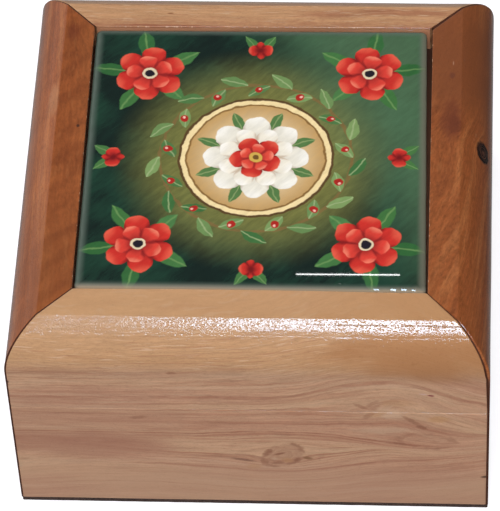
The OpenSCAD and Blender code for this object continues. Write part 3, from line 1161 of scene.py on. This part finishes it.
def picture_glaze(name):
    """Clear glaze over the print, which stops short of the tile's edge."""
    p = Pattern(name)
    flat_x, flat_y = turned_axes(p.x, p.y, TILE_TURN)
    # The brush wavers a little, so no outline is drawn with a rule
    x = flat_x + (p.noise(flat_x / 1.8, flat_y / 1.8, 1.0, 2.0) - 0.5) * 0.7
    y = flat_y + (p.noise(flat_x / 1.8, flat_y / 1.8, 9.0, 2.0) - 0.5) * 0.7
    r = p.root(x * x + y * y)
    angle = p.math("ARCTAN2", y, x)
    strokes = p.noise((x + y) / 4.5, (x - y) / 1.1, 4.0, 3.0, 0.6)
    cloud = p.noise(x / 11, y / 11, 2.0, 2.0)

    # Ground: dark green, with an olive glow round the medallion and a paler sweep
    glow = p.smooth(r, 21.0, 10.5)
    p.colour = p.mix(p.smooth(cloud + strokes * 0.3, 0.5, 0.85), DARK_GREEN, MOSS_GREEN)
    p.paint(glow * (0.55 + strokes * 0.5), (0.2, 0.2, 0.055))
    sweep = p.smooth(x + y * 0.5 + 4.0 * cloud, 9.0, 26.0)
    p.paint(sweep * 0.6, (0.1, 0.2, 0.1))

    # Leaves behind the corner flowers, drawn once and mirrored into each corner
    corner_x = abs(x) - CORNER_AT
    corner_y = abs(y) - CORNER_AT
    for lean, reach, tint in CORNER_LEAVES:
        u, w = turned_axes(corner_x, corner_y, lean)
        leaf(p, u - reach, w, 2.7, 1.15, tint, (0.16, 0.3, 0.1))

    # Corner flowers: red, six petals, with a dark eye
    flower(p, corner_x, corner_y, 5.0, 6, 0.4, RED_FLOWER)
    flower(p, corner_x, corner_y, 3.3, 5, 1.1, CORNER_HEART)
    disc(p, corner_x, corner_y, 1.05, (0.75, 0.62, 0.42))
    disc(p, corner_x, corner_y, 0.72, (0.015, 0.012, 0.02))

    # Small buds at the middle of each side
    side_x = p.math("MINIMUM", abs(x), abs(y))
    side_y = p.math("MAXIMUM", abs(x), abs(y)) - BUD_AT
    for lean in (55, 125):
        u, w = turned_axes(side_x, side_y + 0.4, lean)
        leaf(p, u - 1.9, w, 1.9, 0.75, (0.06, 0.17, 0.05), (0.17, 0.3, 0.11))
    flower(p, side_x, side_y, 1.7, 3, 0.0, RED_FLOWER)

    # Wreath: a stem with leaves on both sides and red berries
    around = angle * (WREATH_LEAVES / math.tau)
    cell = p.math("FLOOR", around)
    along = (around - cell - 0.5) * (math.tau * WREATH_R / WREATH_LEAVES)
    parity = p.math("MODULO", abs(cell), 2.0) * 2.0 - 1.0
    off = r - WREATH_R
    p.paint(p.smooth(abs(off), 0.32, 0.12), (0.19, 0.13, 0.045))
    shade = p.noise(cell * 3.7, 2.5, 1.5, 0.0)
    green = p.mix(p.smooth(shade, 0.3, 0.7), (0.05, 0.15, 0.045), (0.2, 0.31, 0.11))
    u, w = turned_axes(along, off * parity - 1.0, 32)
    leaf(p, u, w, 2.0, 0.85, green, (0.36, 0.45, 0.22))
    berries = WREATH_LEAVES / 2
    berry_around = angle * (berries / math.tau) + 0.25
    berry_along = (berry_around - p.math("FLOOR", berry_around) - 0.5) * (math.tau * WREATH_R / berries)
    disc(p, berry_along, off + 0.9, 0.62, (0.4, 0.02, 0.015))
    disc(p, berry_along + 0.15, off + 0.7, 0.2, (0.9, 0.5, 0.4))

    # Medallion: cream with a fine golden rim, and a pale blossom round a red one
    disc_shade = p.mix(p.smooth(r + strokes * 2.0, 5.0, 11.5), CREAM, (0.5, 0.3, 0.11))
    for inside, tint in (
        (0.0, (0.1, 0.055, 0.02)),
        (0.4, (0.86, 0.68, 0.36)),
        (1.1, (0.24, 0.13, 0.04)),
        (1.4, disc_shade),
    ):
        p.paint(p.smooth(r, MEDALLION_R - inside, MEDALLION_R - inside - 0.2), tint)
    for lean in range(0, 180, 45):
        u, w = turned_axes(x, y, lean + 22.5)
        leaf(p, abs(u) - 6.9, w, 2.0, 0.8, (0.09, 0.19, 0.06), (0.3, 0.38, 0.16))
    flower(p, x, y, 7.4, 8, 0.0, WHITE_FLOWER)
    flower(p, x, y, 5.4, 8, math.pi / 8, WHITE_HEART)
    flower(p, x, y, 3.7, 5, 0.5, RED_FLOWER)
    flower(p, x, y, 2.4, 5, 1.1, MIDDLE_HEART)
    disc(p, x, y, 0.95, (0.62, 0.4, 0.08))
    disc(p, x, y, 0.42, (0.16, 0.08, 0.02))
    p.brighten(0.78 + strokes * 0.44)

    # The print stops short of the rounded edge, which shows the tile's pale body through the glaze. That
    # edge's colour is painted light and shade: darkest at the left, lighter at the right, lighter still at
    # the front and lightest at the front's foot
    inset = tile_inset(p) + (cloud - 0.5) * 0.25
    clay_light_and_shade = p.mix(p.smooth(p.x, 22.2, 23.0), CLAY_SHADED_LEFT, CLAY_SHADED_RIGHT)
    clay_light_and_shade = p.mix(p.smooth(p.y, -22.4, -23.2), clay_light_and_shade, CLAY_LIT_FRONT)
    clay_light_and_shade = p.mix(p.smooth(p.y, -23.0, -23.4), clay_light_and_shade, CLAY_LIT_FRONT_FOOT)
    p.paint(p.smooth(inset, 1.5, 0.3) * 0.8, clay_light_and_shade)
    lumps = (p.noise(flat_x / 1.4, flat_y / 1.4, 3.0, 1.0) - 0.5) * p.smooth(inset, 1.4, 0.7)
    beads = 0.0
    for centre, half in GLAZE_BEADS:
        beads = beads + p.smooth(abs(p.x - centre), half, half * 0.6)
    # Where level is 1 the glaze fills the rounded edge up, so that it mirrors as the tile's face does
    level = (1.0 - beads * 1.5) * p.smooth(p.y, -22.0, -22.6)
    height = lumps * 0.16 + (tile_high[2] - p.z) * level * 1.05
    return p.finish(
        Roughness=0.3,
        IOR=1.5,
        Specular_IOR_Level=0.0,
        Coat_Weight=1.0,
        Coat_Roughness=0.008,
        Coat_IOR=1.5,
        Coat_Normal=p.bump(height, 1.0),
    )


# Boards and glue lines

WOODS = {
    "front": wood("front_board", "front", FRONT_LOOK),
    "back": wood("back_board", "back", BACK_LOOK),
    "left": wood("left_board", "left", LEFT_LOOK),
    "right": wood("right_board", "right", RIGHT_LOOK),
}
glue_brown = glue("mitre_glue")

ARC_STEPS = 44
arc_end = math.asin(edge_drop / EDGE_R)
arc_points = []
for step in range(ARC_STEPS + 1):
    swing = arc_end * step / ARC_STEPS
    arc_u = EDGE_R - EDGE_R * math.cos(swing)
    arc_v = top_z - edge_drop + EDGE_R * math.sin(swing)
    arc_points.append((arc_u, arc_v, ARRIS_R if step == ARC_STEPS else 0))

groove_u = half_w - panel_high[0]
lid_outline = outline(
    [
        (0, seam_z, RIM_R),
        *arc_points,
        (wall_t, top_z, RECESS_R),
        (wall_t, panel_high[2], 0),
        (groove_u, panel_high[2], 0),
        (groove_u, panel_low[2], 0),
        (wall_t, panel_low[2], 0),
        (wall_t, seam_z, RIM_R),
    ]
)
rabbet_u = half_w - floor_high[0]
base_outline = outline(
    [
        (0, base_z, FOOT_R),
        (0, seam_z, RIM_R),
        (wall_t, seam_z, RIM_R),
        (wall_t, floor_high[2], 0),
        (rabbet_u, floor_high[2], 0),
        (rabbet_u, base_z, 0),
    ]
)

# Seats for the hinge leaves and the magnets, as in the CAD. Their cutters reach past the wood by PAST
LEAF_T = 0.6
SEAT_GAP = 0.1
MAGNET_GAP = 0.05
PAST = 1.0


def leaf_seats(body, up):
    """Mortises for both hinge leaves of a body, on the side of the seam that up gives."""
    seats = []
    for hand in ("left", "right"):
        low, high = span(f"{hand}_hinge_{body}_leaf")
        z = sorted((seam_z - up * PAST, seam_z + up * LEAF_T))
        start = (low[0] - SEAT_GAP, low[1] - SEAT_GAP, z[0])
        seats.append(block(start, (high[0] + SEAT_GAP, half_d + PAST, z[1])))
    return seats


def magnet_seat(node, up):
    """Blind hole for a magnet."""
    low, high = span(node)
    x, y = ((low[i] + high[i]) / 2 for i in (0, 1))
    bottom = high[2] if up > 0 else low[2]
    z = sorted((seam_z - up * PAST, bottom))
    return [round_block(x, y, (high[0] - low[0]) / 2 + MAGNET_GAP, z[0], z[1])]


SEATS = {
    "lid_back_rail": lambda: leaf_seats("lid", 1),
    "base_back_wall": lambda: leaf_seats("base", -1),
    "lid_front_rail": lambda: magnet_seat("lid_magnet", 1),
    "base_front_wall": lambda: magnet_seat("base_magnet", -1),
}

recess_floor = panel_high[2] - 0.01
for body, kind, points, recess_from in (
    ("lid", "rail", lid_outline, recess_floor),
    ("base", "wall", base_outline, top_z + 1),
):
    for number, side in enumerate(SIDES):
        node = f"{body}_{side}_{kind}"
        piece = board(f"{node}_wood", side, points, WOODS[side], number + len(body), recess_from)
        if node in SEATS:
            cut(piece, SEATS[node]())
        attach(piece, body)
        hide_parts(node)
    slivers = [
        glue_sheet(f"{body}_glue_{corner}", corner, points, glue_brown, recess_from)
        for corner in GLUE
    ]
    slivers.append(lip(f"{body}_right_{kind}_lip", points, WOODS["right"], recess_from))
    for piece in slivers:
        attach(piece, body)

# Tile, with a softly pillowed, slightly uneven edge

EDGE_WIDE = 0.95
EDGE_DEEP = 0.5
EDGE_STEPS = 10
TILE_CORNER_R = 0.8

# Its face rises by the crown from its edge to its middle: (distance in, share of the rise)
TILE_CROWN = 0.02
CROWN = [(0.25, 0.6), (0.6, 0.95), (0.9, 1.0), (1.1, 1.0), (4, 1.0), (17, 1.0)]


def tile():
    """The tile in rings from its underside to its middle, stretched to its own four corners."""
    rings = []
    shape = [(0.3, 0.0), (0.05, 0.22), (0.0, 0.5)]
    tile_t = tile_high[2] - tile_low[2]
    for step in range(EDGE_STEPS + 1):
        swing = math.pi / 2 * step / EDGE_STEPS
        height = tile_t - EDGE_DEEP + EDGE_DEEP * math.sin(swing) - TILE_CROWN
        shape.append((EDGE_WIDE * (1 - math.cos(swing)), height))
    shape += [(EDGE_WIDE + run, tile_t - TILE_CROWN * (1 - rise)) for run, rise in CROWN]
    front_left, front_right, back_right, back_left = (Vector(TILE[corner]) for corner in RECESS)
    for inset, height in shape:
        half = TILE_HALF - inset
        ring = []
        for x, y in rounded_ring(half, half, max(TILE_CORNER_R - 0.3 * inset, 0.3), 56, 8):
            uneven = noise.noise(Vector((x / 2.6, y / 2.6, 4.4)))
            on_edge = smoothstep(height, 1.5, tile_t - EDGE_DEEP) * smoothstep(inset, 1.7, 0.3)
            shrink = 1 - on_edge * (0.5 + 0.5 * uneven) * 0.07 / half
            drop = on_edge * (0.5 - 0.5 * uneven) * 0.05
            across = (x * shrink / TILE_HALF + 1) / 2
            back = (y * shrink / TILE_HALF + 1) / 2
            at_front = front_left.lerp(front_right, across)
            at_back = back_left.lerp(back_right, across)
            ring.append(Vector((*at_front.lerp(at_back, back), tile_low[2] + height - drop)))
        rings.append(ring)
    return stacked_rings("tile_glazed", rings, picture_glaze("picture_glaze"))


piece = tile()
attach(piece, "lid")
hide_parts("picture_tile")

# Felts: soft-edged sheets whose cut edges waver


def felt_sheet(name, low, high, material, waver, seed, spread=0.0):
    """A felt over a CAD node's place. Its edge wavers by so much, and spreads past the node's."""
    half_x, half_y = high[0] + spread, high[1] + spread
    thick = high[2] - low[2]
    soft = thick * 0.1
    shape = [(soft, 0.0), (0.0, soft), (0.0, thick - soft)]
    shape += [(inset, thick) for inset in (soft, soft + 1.2, soft + 5, half_x * 0.6)]
    rings = []
    for number, (inset, height) in enumerate(shape):
        ring = []
        for x, y in rounded_ring(half_x - inset, half_y - inset, 0.2, 70, 5):
            rough = noise.noise(Vector((x / 1.3, y / 1.3, seed))) * 0.5 + 0.5
            shrink = 1 - waver * rough / half_x
            dent = noise.noise(Vector((x / 2.2, y / 2.2, seed + 5))) * 0.5 + 0.5
            lift = low[2] + height - (0.12 * thick * dent if number > 2 else 0)
            ring.append((x * shrink, y * shrink, lift))
        rings.append(ring)
    return stacked_rings(name, rings, material)


foot_wool = felt("foot_felt_wool", (0.022, 0.011, 0.008), (0.075, 0.042, 0.032), 0.1)
piece = felt_sheet("foot_felt_sheet", foot_low, foot_high, foot_wool, 0.06, 2.0, 0.08)
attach(piece, "base")
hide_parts("foot_felt")
lining_wool = felt("lining_felt_wool", (0.009, 0.045, 0.026), (0.035, 0.12, 0.072), 0.35)
piece = felt_sheet("lining_felt_sheet", lining_low, lining_high, lining_wool, 0.2, 6.0)
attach(piece, "base")
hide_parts("floor_lining")

# CAD solids that stay, with their finishes and softened edges


def dress(node, material, bevel):
    """Gives a CAD node its material and softens its edges."""
    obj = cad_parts[node]
    obj.data.materials.clear()
    obj.data.materials.append(material)
    weld = obj.modifiers.new("weld", "WELD")
    weld.merge_threshold = 0.002 * MM
    if bevel:
        edges = obj.modifiers.new("edges", "BEVEL")
        edges.width = bevel * MM
        edges.segments = 2
        edges.limit_method = "ANGLE"
        edges.angle_limit = math.radians(35)
        edges.harden_normals = False
    smooth(obj, 35)


brass_plain = brass("brass_plain")
panel_plain = panel_wood("panel_plain")
nickel_plate = nickel("nickel_plate")
for hand in ("left", "right"):
    for part in ("base_leaf", "lid_leaf", "pin"):
        dress(f"{hand}_hinge_{part}", brass_plain, 0.05)
for node in ("base_hinge_screws", "lid_hinge_screws"):
    dress(node, brass_plain, 0.03)
for node in ("base_magnet", "lid_magnet"):
    dress(node, nickel_plate, 0.12)
for node in ("lid_panel", "base_floor"):
    dress(node, panel_plain, 0)

# Camera, from the photograph's vanishing lines: azimuth and elevation of the view, and its roll

CAMERA_AT = (30.7, -351.7, 451.9)
AZIMUTH = -5.25
ELEVATION = 51.04
ROLL = -3.32
LENS = 275.0

camera_data = bpy.data.cameras.new("camera")
camera = bpy.data.objects.new("camera", camera_data)
bpy.context.scene.collection.objects.link(camera)
camera_data.sensor_fit = "AUTO"
camera_data.sensor_width = 36.0
camera_data.lens = LENS
camera_data.clip_start = 0.01
az, el, roll = (math.radians(a) for a in (AZIMUTH, ELEVATION, ROLL))
ahead = Vector((math.sin(az) * math.cos(el), math.cos(az) * math.cos(el), -math.sin(el)))
right = ahead.cross(Vector((0, 0, 1))).normalized()
up = right.cross(ahead)
rolled_right = right * math.cos(roll) + up * math.sin(roll)
rolled_up = up * math.cos(roll) - right * math.sin(roll)
turn = Matrix((rolled_right, rolled_up, -ahead)).transposed()
camera.matrix_world = Matrix.Translation(Vector(CAMERA_AT) * MM) @ turn.to_4x4()
bpy.context.scene.camera = camera

# Lamps: place and target in metres, size, power, colour and roll in degrees
# The key lights what is matt, the gleam shows in the lacquer of the front edge, the tube in the tile's glaze

LAMPS = {
    "key": ((0.014, -0.457, 0.892), (0, -0.029, 0.034), (0.155, 0.47), 5.6, (1, 1, 1), 0),
    "gleam": (
        (0.093, -0.435, 0.893), (0.079, -0.029, 0.034), (0.313, 0.43), 9.6, (0.69, 0.94, 1.22), 0
    ),
    "tube": (
        (-0.018, 0.585, 0.79625), (0.013, -0.021, 0.037), (0.04, 0.0004), 0.0016, (1, 1, 1), -1.9
    ),
}


def area_light(name, place, target, size, power, colour, roll):
    """A rectangular soft box."""
    data = bpy.data.lights.new(name, "AREA")
    data.shape = "RECTANGLE"
    data.size, data.size_y = size
    data.energy = power
    data.color = colour
    light = bpy.data.objects.new(name, data)
    bpy.context.scene.collection.objects.link(light)
    light.location = place
    aim = (Vector(target) - Vector(place)).to_track_quat("-Z", "Y")
    light.rotation_euler = (aim @ Quaternion((0, 0, 1), math.radians(roll))).to_euler()
    return light


lamps = {name: area_light(name, *data) for name, data in LAMPS.items()}
lamps["key"].visible_glossy = False
lamps["gleam"].visible_diffuse = False

# The room: white to the camera; brighter to the left and in front for the object, and dim overhead
# Each ramp of brightness: from and to along its axis, and the strength at both ends

AMBIENT_SIDEWAYS = (-0.9, 0.9, 0.78, 0.12)
AMBIENT_AHEAD = (-0.7, 0.1, 0.45, 0.0)
MIRRORED_SIDEWAYS = (-0.5, 0.45, 0.55, 0.04)
MIRRORED_ABOVE = 0.12
OVERHEAD = (0.45, 0.72, 0.0, 1.0)
FLOOR_GREY = (0.44, 0.42, 0.46, 1)
FLOOR_GLOW = 0.75
FLOOR_MIRRORED = (0.034, 0.07, 0.28, 0.05)
FLOOR_SIZE = 4.0
FLOOR_DROP = 0.02 * MM


def ray_is(tree, *kinds):
    """1 for rays of these kinds."""
    path = add_node(tree, "LightPath")
    total = path.outputs[kinds[0]]
    for kind in kinds[1:]:
        total = add_node(tree, "Math", {0: total, 1: path.outputs[kind]}, operation="MAXIMUM").outputs[0]
    return total


def chosen(tree, share, first, second):
    """First where share is 0, second where it is 1."""
    return add_node(tree, "Mix", {0: share, 2: first, 3: second}, data_type="FLOAT").outputs[0]


world = bpy.data.worlds.new("studio")
bpy.context.scene.world = world
tree = new_tree(world)
toward = axes(tree, "Generated")
sideways = ramp(tree, toward["X"], *AMBIENT_SIDEWAYS)
in_front = ramp(tree, toward["Y"], *AMBIENT_AHEAD)
ambient = add_node(tree, "Math", {0: sideways, 1: in_front}, operation="ADD").outputs[0]
horizon = ramp(tree, toward["X"], *MIRRORED_SIDEWAYS)
mirrored = chosen(tree, ramp(tree, toward["Z"], *OVERHEAD), horizon, MIRRORED_ABOVE)
strength = chosen(tree, ray_is(tree, "Is Glossy Ray", "Is Transmission Ray"), ambient, mirrored)
strength = chosen(tree, ray_is(tree, "Is Camera Ray"), strength, 1.0)
sky = add_node(tree, "Background", {"Color": (1, 1, 1, 1), "Strength": strength})
add_node(tree, "OutputWorld", {"Surface": sky.outputs[0]})

bpy.ops.mesh.primitive_plane_add(size=FLOOR_SIZE, location=(0, 0, -FLOOR_DROP))
floor = bpy.context.object
floor.name = "floor"
floor_material = bpy.data.materials.new("floor")
tree = new_tree(floor_material)
matt = add_node(tree, "BsdfDiffuse", {"Color": FLOOR_GREY})
glow = chosen(tree, ray_is(tree, "Is Camera Ray"), 0.0, FLOOR_GLOW)
lit = add_node(tree, "Emission", {"Strength": glow})
seen = add_node(tree, "AddShader", {0: matt.outputs[0], 1: lit.outputs[0]})
shine = ramp(tree, axes(tree, "Object")["X"], *FLOOR_MIRRORED)
pale = add_node(tree, "Emission", {"Strength": shine})
glossy = ray_is(tree, "Is Glossy Ray", "Is Transmission Ray")
either = add_node(tree, "MixShader", {0: glossy, 1: seen.outputs[0], 2: pale.outputs[0]})
add_node(tree, "OutputMaterial", {"Surface": either.outputs[0]})
floor.data.materials.append(floor_material)

bpy.context.scene.view_settings.view_transform = "Standard"
